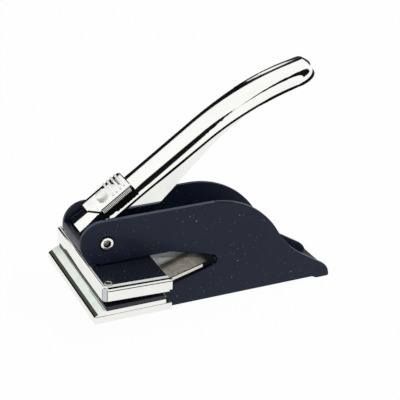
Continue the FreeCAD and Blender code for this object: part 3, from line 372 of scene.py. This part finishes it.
def edged_copy(node, body, material, edge, steps=2, detail=None):
    """A copy of a solid with its sharp edges eased by a width in mm; it takes the solid's place."""
    piece = bpy.data.objects.new(f"{node}_eased", nodes[node].data.copy())
    bpy.context.collection.objects.link(piece)
    only(piece)
    bpy.ops.object.mode_set(mode="EDIT")
    bpy.ops.mesh.select_all(action="SELECT")
    bpy.ops.mesh.remove_doubles(threshold=WELD)
    bpy.ops.mesh.dissolve_limited(angle_limit=FLAT)
    bpy.ops.mesh.customdata_custom_splitnormals_clear()
    bpy.ops.object.mode_set(mode="OBJECT")
    piece.data.materials.clear()
    piece.data.materials.append(material)
    if detail:
        detail(piece)
    if edge:
        modify(piece, "BEVEL", width=edge * MM, segments=steps, limit_method="ANGLE",
               angle_limit=SHARP, use_clamp_overlap=True, loop_slide=True)
    smooth(piece)
    if edge:
        modify(piece, "WEIGHTED_NORMAL", keep_sharp=True)
    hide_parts(node)
    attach(piece, body)
    return piece


def arch_cover(piece):
    """Lets the cover's top fall away on its far half, and paints three dark reflections as black bands.

    They run along the near side beside the slide, round the tip and along the far rounding.
    """
    near, far, fall = 0.8, 7.5, 0.3
    strips, strip = 14, 0.48
    for number in range(strips):
        split(piece, (0, near + number * strip, 0), (0, 1, 0))
    for vertex in piece.data.vertices:
        share = min(max((vertex.co.y / MM - near) / (far - near), 0), 1)
        vertex.co -= OFF * fall * MM * share * share * (3 - 2 * share)
    slide_end, far_start, tip_start = 22.4, 80, 109.4
    steepest, flattest, tip_near, line_near, line_far = -0.885, -0.15, -4.5, 5.1, 6.56
    for place in (slide_end, tip_start):
        split(piece, on_handle(place, 0, 0) / MM, ALONG)
    # painted dark reflections, in three bands
    paint(piece, shade_and_reflection_black, lambda at, n: (
        along_handle(at) < slide_end and at.y < 0 and steepest < n.y < flattest and n.dot(OFF) > 0.2))
    paint(piece, shade_and_reflection_black, lambda at, n: (
        along_handle(at) > tip_start and at.y > tip_near and n.dot(OFF) > 0.2))
    paint(piece, shade_and_reflection_black, lambda at, n: (
        along_handle(at) > far_start and line_near < at.y < line_far and n.dot(OFF) > 0.5))


def under_lip(at, beside):
    """The lower outer edge along the cover's near side."""
    underside, upright, near = -0.8, 0.6, -0.2
    if len(beside) != 2 or min(n.dot(OFF) for n in beside) > underside:
        return False
    wall = max(beside, key=lambda n: n.dot(OFF))
    return abs(wall.dot(OFF)) < upright and at.y < 0 and wall.y < near


def lip_shadow_strip(cover):
    """A near black strip of painted shade under the cover's near lip; it deepens to the tip and ends thin
    there.
    """
    start, growth, length, tip, tip_depth = 0.4, 0.4, 110, 104, 0.1
    piece = bpy.data.objects.new("cover_lip_shadow", cover.data.copy())
    bpy.context.collection.objects.link(piece)
    pick_edges(piece, under_lip)
    bpy.ops.mesh.duplicate()
    bpy.ops.mesh.select_all(action="INVERT")
    bpy.ops.mesh.delete(type="VERT")
    bpy.ops.mesh.select_all(action="SELECT")
    bpy.ops.mesh.extrude_region_move(TRANSFORM_OT_translate={"value": -OFF * MM})
    bpy.ops.mesh.select_all(action="INVERT")
    bpy.ops.object.mode_set(mode="OBJECT")
    for vertex in piece.data.vertices:
        if not vertex.select:
            along = along_handle(vertex.co / MM)
            depth = start + growth * max(along, 0) / length if along < tip else tip_depth
            vertex.co += OFF * MM * (1 - depth)
    modify(piece, "SOLIDIFY", thickness=0.3 * MM, offset=-1)
    piece.data.materials.clear()
    # painted shade: the strip is near black
    piece.data.materials.append(shade_and_reflection_black)
    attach(piece, "handle")


def edge_cheeks(piece):
    """Painted highlight in light lines round both cheeks' outer faces, and painted light on the top edge of
    the near one.
    """
    inner, outer, face, nose_z, nose_x, ground = 10.1, 11.8, 11.95, 14, 2, 0.5
    # painted highlight: light lines along the cheeks' outer edges
    edge_band(piece, 0.4, enamel_edge_highlight, lambda at, beside: (
        abs(at.y) > face and at.z > ground and len(beside) == 2
        and min(abs(n.y) for n in beside) < 0.3 and max(abs(n.y) for n in beside) > 0.95))
    # painted light: a paler top edge on the near cheek
    paint(piece, enamel_lit_top, lambda at, n: (
        -outer < at.y < -inner and n.z > 0.5 and at.z > nose_z and at.x < nose_x))


def bevel_plate(piece):
    """Front bevel in three bands: a dark foot of painted shade, a mottled strip and a clean top that rises to
    the die.
    """
    foot, strip, rise, back = -55.98, -54.9, -51.66, -51.5
    top, lift, low, side = 15.7, 0.6, 14.2, 30.5
    for place in (foot, strip, rise, back):
        split(piece, (place, 0, 0), (1, 0, 0))
    for vertex in piece.data.vertices:
        if abs(vertex.co.x / MM - rise) < 0.02 and vertex.co.z > top * MM:
            vertex.co.z += lift * MM
    paint(piece, pale_chrome, lambda at, n: n.z > 0.5 and at.x < rise and at.z > low)
    paint(piece, mottled_steel, lambda at, n: n.x < -0.3 and n.z > 0.5 and at.x < strip)
    # painted shade: a black line along the bevel's foot
    paint(piece, shade_and_reflection_black, lambda at, n: at.x < foot and n.z > 0.5 and abs(at.y) < side)


def line_platen(piece):
    """Painted shade in two fine dark lines for the grooves along the sides, a painted highlight on the top
    rim and a cool panel of painted reflection, edged in dark lines, in the near front corner.
    """
    slope, front, drop = 0.03, -50.0, 0.35
    grooves = ((25.26, 25.74), (24.12, 24.5))
    middle, reach, side, panel_top, rim_low = -38, 12.2, 29.5, 24.9, 24.5
    for low, high in grooves:
        for height in (high, low):
            split(piece, (front, 0, height - drop), (slope, 0, 1))

    def level(at):
        return at.z + slope * (at.x - front) + drop

    def grooved(at):
        return any(low + 0.01 < level(at) < high - 0.01 for low, high in grooves)

    def corner(at, n, *turns):
        """Whether an upright face under the rim turns by an angle between two limits."""
        turn = math.degrees(math.atan2(-n.y, -n.x))
        return abs(n.z) < 0.2 and level(at) < panel_top and any(low < turn < high for low, high in turns)

    # painted shade: dark lines where the grooves are
    paint(piece, shade_and_reflection_black, lambda at, n: (
        abs(n.y) > 0.3 and abs(at.y) > side and abs(at.x - middle) < reach and grooved(at)))
    # painted highlight: the flat top rim is flat white
    paint(piece, sheen_white, lambda at, n: n.z > 0.99 and at.z > rim_low)
    # painted reflection: a pale blue panel on the near front corner, with dark edge lines
    paint(piece, reflection_blue, lambda at, n: corner(at, n, (20, 70)))
    paint(piece, shade_and_reflection_black, lambda at, n: corner(at, n, (8, 20), (70, 82)))


def close_cap(piece):
    """Lets the cap meet the rim without a gap, with painted highlight strips along its sides and back."""
    side, rim, front, gap, strip, back, top = 29.0, 29.25, -50.9, 0.15, 28.3, -25.3, 24
    for vertex in piece.data.vertices:
        if abs(vertex.co.y) > side * MM:
            vertex.co.y = math.copysign(rim * MM, vertex.co.y)
        if vertex.co.x < front * MM:
            vertex.co.x -= gap * MM
    for way in (-1, 1):
        split(piece, (0, strip * way, 0), (0, 1, 0))
    # painted highlight: flat white strips along the sides and back edge
    paint(piece, sheen_white, lambda at, n: abs(at.y) > strip)
    edge_band(piece, 0.3, sheen_white, lambda at, beside: (
        at.x > back and at.z > top and len(beside) == 2 and max(n.z for n in beside) > 0.9
        and max(n.x for n in beside) > 0.9))


def line_arm(piece):
    """Dark line along the top of the arm's edges, which are mottled cream below it, and a black root of
    painted shade toward the hinge.
    """
    front, height, lean, rise, root, bore = -25, 23.5, 0.17, 0.985, -5, 5
    split(piece, (front, 0, height), (lean, 0, rise))
    split(piece, (root, 0, 0), (1, 0, 0))
    paint(piece, cream_steel, lambda at, n: abs(n.y) > 0.5 and abs(at.y) > bore)
    # painted shade over the root, and a dark line along the top of the edges
    paint(piece, shade_and_reflection_black, lambda at, n: abs(at.y) > bore and (
        at.x > root or (abs(n.y) > 0.5 and at.z + lean / rise * (at.x - front) > height)))


def hollow_pin(piece):
    """Painted shade in the bores of the pin's rolled ends, with a grey floor."""
    axis, bore, floor = PIVOT / MM, 1.52, 10.5

    def from_axis(at):
        return math.hypot(at.x - axis.x, at.z - axis.z)

    # painted shade in the bores
    paint(piece, shade_and_reflection_black, lambda at, n: from_axis(at) < bore and abs(n.y) < 0.5 and abs(at.y) > floor - 0.1)
    paint(piece, steel, lambda at, n: abs(abs(at.y) - floor) < 0.1 and abs(n.y) > 0.5)


def pin_shadow_ring(side, way):
    """Thin black ring of painted shadow in the joint between the pin's rolled end and the cheek."""
    cheek, inner, outer, thick = 12.0, 2.5, 3.2, 0.06
    facing = Vector((0, way, 0))
    bpy.ops.mesh.primitive_circle_add(vertices=48, radius=outer * MM, fill_type="NGON",
                                      location=(PIVOT.x, cheek * way * MM, PIVOT.z),
                                      rotation=facing.to_track_quat("Z", "Y").to_euler())
    ring = bpy.context.object
    ring.name = f"pin_shadow_ring_{side}"
    only(ring)
    bpy.ops.object.mode_set(mode="EDIT")
    bpy.ops.mesh.select_all(action="SELECT")
    bpy.ops.mesh.inset(thickness=(outer - inner) * MM)
    bpy.ops.mesh.delete(type="FACE")
    bpy.ops.mesh.select_all(action="SELECT")
    bpy.ops.mesh.extrude_region_move(TRANSFORM_OT_translate={"value": facing * thick * MM})
    bpy.ops.mesh.select_all(action="SELECT")
    bpy.ops.mesh.normals_make_consistent(inside=False)
    bpy.ops.object.mode_set(mode="OBJECT")
    bpy.ops.object.transform_apply(location=True, rotation=True, scale=True)
    # painted shadow: the ring is near black
    ring.data.materials.append(shade_and_reflection_black)
    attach(ring, "frame_body")


def screw_rim(side, way):
    """Bright rolled rim round a cap screw's head."""
    x, y, z, radius, wire = -49.35, 27.44, 25.95, 1.4, 0.22
    bpy.ops.mesh.primitive_torus_add(major_segments=48, minor_segments=12, major_radius=radius * MM,
                                     minor_radius=wire * MM, location=Vector((x, y * way, z)) * MM)
    rim = bpy.context.object
    rim.name = f"cap_screw_rim_{side}"
    bpy.ops.object.transform_apply(location=True, rotation=True, scale=True)
    rim.data.materials.append(chrome)
    smooth(rim)
    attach(rim, "jaw")


def dress_slide(piece):
    """Painted dark reflection on the far edge behind the ribs, painted shade on the near skirt and painted
    sheen on the ribs' sides.
    """
    narrow, wide, change, back, top, skirt = 5.4, 4.6, 12.6, 21.5, 10.65, -7
    for y in (wide, narrow):
        split(piece, (0, y, 0), (0, 1, 0))
    split(piece, on_handle(change, 0, 0) / MM, ALONG)
    # painted sheen: flat white on the ribs' sides
    paint(piece, sheen_white, lambda at, n: off_handle(at) > top and n.dot(OFF) < 0.9)
    # painted dark reflection along the far edge
    paint(piece, shade_and_reflection_black, lambda at, n: (
        n.dot(OFF) > 0.3 and at.y > (narrow if along_handle(at) < change else wide)
        and along_handle(at) < back))
    # painted shade on the near skirt
    paint(piece, dark_steel, lambda at, n: n.y < -0.8 and at.y < skirt)


def slide_block(name, corners, low, high, material):
    """A block on the slide, from four (along, y) corners and two heights off the handle's line."""
    bpy.ops.mesh.primitive_cube_add(size=1)
    block = bpy.context.object
    block.name = name
    for vertex in block.data.vertices:
        front, near = vertex.co.x < 0, vertex.co.y < 0
        along, y = corners[(0 if near else 3) if front else (1 if near else 2)]
        vertex.co = on_handle(along, y, low if vertex.co.z < 0 else high)
    block.data.materials.append(material)
    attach(block, "slide")
    return block


def slide_tooth(number):
    """One tooth of the row along the slide's far edge, counted from the back."""
    last, pitch, half, near, far, low, high = 20.0, 1.9, 0.5, 4.7, 7.2, 10.4, 11.25
    front, back = (last - pitch * number + half * way for way in (-1, 1))
    # painted sheen: each tooth is flat white
    tooth = slide_block(f"slide_tooth_{number + 1}", ((front, near), (back, near), (back, far), (front, far)),
                        low, high, sheen_white)
    modify(tooth, "BEVEL", width=0.2 * MM, segments=3, limit_method="ANGLE")
    smooth(tooth)


def skirt_ribs():
    """Row of thin upright ribs on the slide's near skirt."""
    front, back, outer, inner, low, high, pitch = 7.0, 7.3, -7.52, -7.3, 8.5, 10.2, 0.62
    # painted sheen: the ribs are flat white
    ribs = slide_block("slide_skirt_ribs", ((front, outer), (back, outer), (back, inner), (front, inner)),
                       low, high, sheen_white)
    modify(ribs, "ARRAY", count=23, use_relative_offset=False, use_constant_offset=True,
           constant_offset_displace=ALONG * pitch * MM)


def slide_lip_shadow():
    """Dark strip of painted shadow that crosses the handle at the slide's front, slanting forward to its far
    end.
    """
    corners, low, high = ((6.3, -7.3), (7.6, -7.3), (4.6, 1.4), (2.2, 1.4)), 9.02, 9.3
    # painted shadow: a near black strip
    slide_block("slide_lip_shadow", corners, low, high, shade_and_reflection_black)


def slide_dimple():
    """Low oval button on the slide's top."""
    middle, radii = (10.5, 3.7, 10.5), (1.9, 1.7, 0.6)
    bpy.ops.mesh.primitive_uv_sphere_add(segments=40, ring_count=20, radius=1.0)
    dimple = bpy.context.object
    dimple.name = "slide_dimple"
    for vertex in dimple.data.vertices:
        vertex.co = on_handle(*(centre + part * radius for centre, part, radius in
                                zip(middle, vertex.co, radii)))
    # painted sheen: the button is flat white
    dimple.data.materials.append(sheen_white)
    smooth(dimple)
    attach(dimple, "slide")


# ---------------------------------------------------------------- frame, jaw, handle and slide

edged_copy("frame", "frame_body", enamel, 0, detail=edge_cheeks)
edged_copy("nose_bridge", "frame_body", enamel, 0.3)
edged_copy("lower_plate", "frame_body", chrome, 0.18, detail=bevel_plate)
edged_copy("lower_die", "frame_body", die_black, 0.15)
edged_copy("base_pad", "frame_body", rubber, 0.15)
for node, edge in (("anvil_block", 0.2), ("hinge_bracket", 0.2), ("hinge_pin", 0.15)):
    edged_copy(node, "frame_body", steel, edge)
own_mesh(edged_copy("return_spring", "frame_body", spring_wire, 0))
for node, edge in (("spring_stud", 0.25), ("bracket_rivets", 0.3), ("anvil_screws", 0.2)):
    edged_copy(node, "frame_body", steel, edge)
edged_copy("pivot_pin", "frame_body", chrome, 0.18, 3, detail=hollow_pin)
for side, way in SIDES:
    pin_shadow_ring(side, way)
edged_copy("upper_platen", "jaw", chrome, 0, detail=line_platen)
edged_copy("press_arm", "jaw", arm_nickel, 0.15, detail=line_arm)
edged_copy("cap_plate", "jaw", cap_enamel, 0, detail=close_cap)
edged_copy("cap_screws", "jaw", dark_steel, 0.3, 3)
for side, way in SIDES:
    screw_rim(side, way)
edged_copy("wear_plate", "jaw", steel, 0.15)
edged_copy("wear_plate_rivets", "jaw", steel, 0)
edged_copy("upper_die", "jaw", brass, 0.15)
edged_copy("lever", "handle", chrome, 0.15)
lip_shadow_strip(edged_copy("handle_cover", "handle", bright_chrome, 0, detail=arch_cover))
edged_copy("cross_pin", "handle", chrome, 0.1)
edged_copy("pivot_bushes", "handle", steel, 0.15)
edged_copy("lock_slide", "slide", bright_chrome, 0.2, 3, detail=dress_slide)
# painted sheen: flat white on the stud's sides
paint(edged_copy("slide_stud", "slide", bright_chrome, 0.15, 3), sheen_white,
      lambda at, n: n.dot(OFF) < 0.97)
for number in range(4):
    slide_tooth(number)
skirt_ribs()
slide_lip_shadow()
slide_dimple()
edged_copy("slide_clip", "slide", steel, 0.1)

# ---------------------------------------------------------------- studio


def floor_material():
    """White sweep: plain white to the camera, with a faint shadow under the object."""
    material = bpy.data.materials.new("white sweep")
    material.use_nodes = True
    sheet = Graph(material.node_tree)
    sheet.tree.nodes.clear()
    rays = sheet.add("ShaderNodeLightPath")
    plain = sheet.add("ShaderNodeEmission")
    sheet.feed((1.0, 1.0, 1.0), plain.inputs["Color"])
    lit = sheet.add("ShaderNodeBsdfDiffuse")
    sheet.feed((0.8, 0.8, 0.78), lit.inputs["Color"])
    to_camera, to_metal = 0.97, 0.85
    share = sheet.math("MULTIPLY", rays.outputs["Is Camera Ray"], to_camera)
    share = sheet.math("MULTIPLY_ADD", rays.outputs["Is Glossy Ray"], to_metal, share)
    mix = sheet.add("ShaderNodeMixShader")
    sheet.join(share, mix.inputs["Fac"])
    sheet.join(lit.outputs["BSDF"], mix.inputs[1])
    sheet.join(plain.outputs["Emission"], mix.inputs[2])
    out = sheet.add("ShaderNodeOutputMaterial")
    sheet.join(mix.outputs["Shader"], out.inputs["Surface"])
    return material


bpy.ops.mesh.primitive_plane_add(size=3.0, location=(0, 0, -0.1 * MM))
sweep = bpy.context.object
sweep.name = "studio_floor"
sweep.data.materials.append(floor_material())


def studio_world():
    """White room. Metal sees a dark skirting behind it, a curtain on the left and a banner in front."""
    world = bpy.data.worlds.new("studio")
    bpy.context.scene.world = world
    world.use_nodes = True
    room = Graph(world.node_tree)
    room.tree.nodes.clear()
    axes = room.add("ShaderNodeSeparateXYZ")
    room.join(room.add("ShaderNodeTexCoord").outputs["Generated"], axes.inputs["Vector"])
    x, y, z = (axes.outputs[name] for name in "XYZ")

    def every(*parts):
        whole = parts[0]
        for part in parts[1:]:
            whole = room.math("MULTIPLY", whole, part)
        return whole

    def below(value, edge, soft):
        return room.math("SUBTRACT", 1.0, room.step(value, edge, soft))

    def slanted(slope):
        """The view direction's y with a share of its x."""
        return room.math("MULTIPLY_ADD", x, slope, y)

    # each dark field is bounded by steps in the direction's x and y, given as edge and softness
    slit = every(room.step(slanted(0.171), 0.9269, 0.002), room.step(slanted(0.055), 0.9022, 0.0015),
                 below(y, 0.9065, 0.0015))
    skirting = every(room.step(slanted(0.035), 0.8645, 0.002), room.math("SUBTRACT", 1.0, slit))
    curtain = every(below(x, -0.285, 0.015), room.step(y, -0.8, 0.02), below(slanted(1.05), -0.793, 0.02))
    banner = every(room.step(x, -0.26, 0.02), room.step(y, -0.6, 0.012), below(slanted(-1.8), -0.142, 0.02),
                   below(y, 0.12, 0.03))
    sky = room.step(z, 0.0, 0.02)
    dark = every(room.math("MAXIMUM", room.math("MAXIMUM", skirting, curtain), banner), sky)
    mirrored = room.add("ShaderNodeBackground")
    room.join(room.blend(dark, (1.0, 1.0, 0.98), (0.006, 0.0065, 0.009)), mirrored.inputs["Color"])
    plain = room.add("ShaderNodeBackground")
    room.feed((1.0, 1.0, 1.0), plain.inputs["Color"])
    plain.inputs["Strength"].default_value = 0.6
    white = room.add("ShaderNodeBackground")
    room.feed((1.0, 1.0, 1.0), white.inputs["Color"])
    rays = room.add("ShaderNodeLightPath")
    shown = plain
    for test, look in (("Is Glossy Ray", mirrored), ("Is Camera Ray", white)):
        choice = room.add("ShaderNodeMixShader")
        room.join(rays.outputs[test], choice.inputs["Fac"])
        room.join(shown.outputs[0], choice.inputs[1])
        room.join(look.outputs[0], choice.inputs[2])
        shown = choice
    out = room.add("ShaderNodeOutputWorld")
    room.join(shown.outputs[0], out.inputs["Surface"])


studio_world()


def lamp(name, place, target, size, power):
    light = bpy.data.lights.new(name, "AREA")
    light.shape = "RECTANGLE"
    light.size, light.size_y = size
    light.energy = power
    holder = bpy.data.objects.new(name, light)
    bpy.context.collection.objects.link(holder)
    holder.location = place
    holder.visible_glossy = False
    holder.rotation_euler = (Vector(target) - Vector(place)).to_track_quat("-Z", "Y").to_euler()


lamp("softbox_right", (0.55, -0.5, 0.95), (0, 0, 0.03), (0.35, 0.35), 5)

camera = bpy.data.cameras.new("camera")
camera.lens = 108.2
camera.sensor_width = 36
camera.clip_start = 0.01
viewer = bpy.data.objects.new("camera", camera)
bpy.context.collection.objects.link(viewer)
viewer.location = Vector((-177.99, -416.35, 244.33)) * MM
viewer.rotation_euler = Vector((0.3599, 0.8382, -0.4096)).to_track_quat("-Z", "Y").to_euler()
bpy.context.scene.camera = viewer
bpy.context.scene.view_settings.view_transform = "Standard"
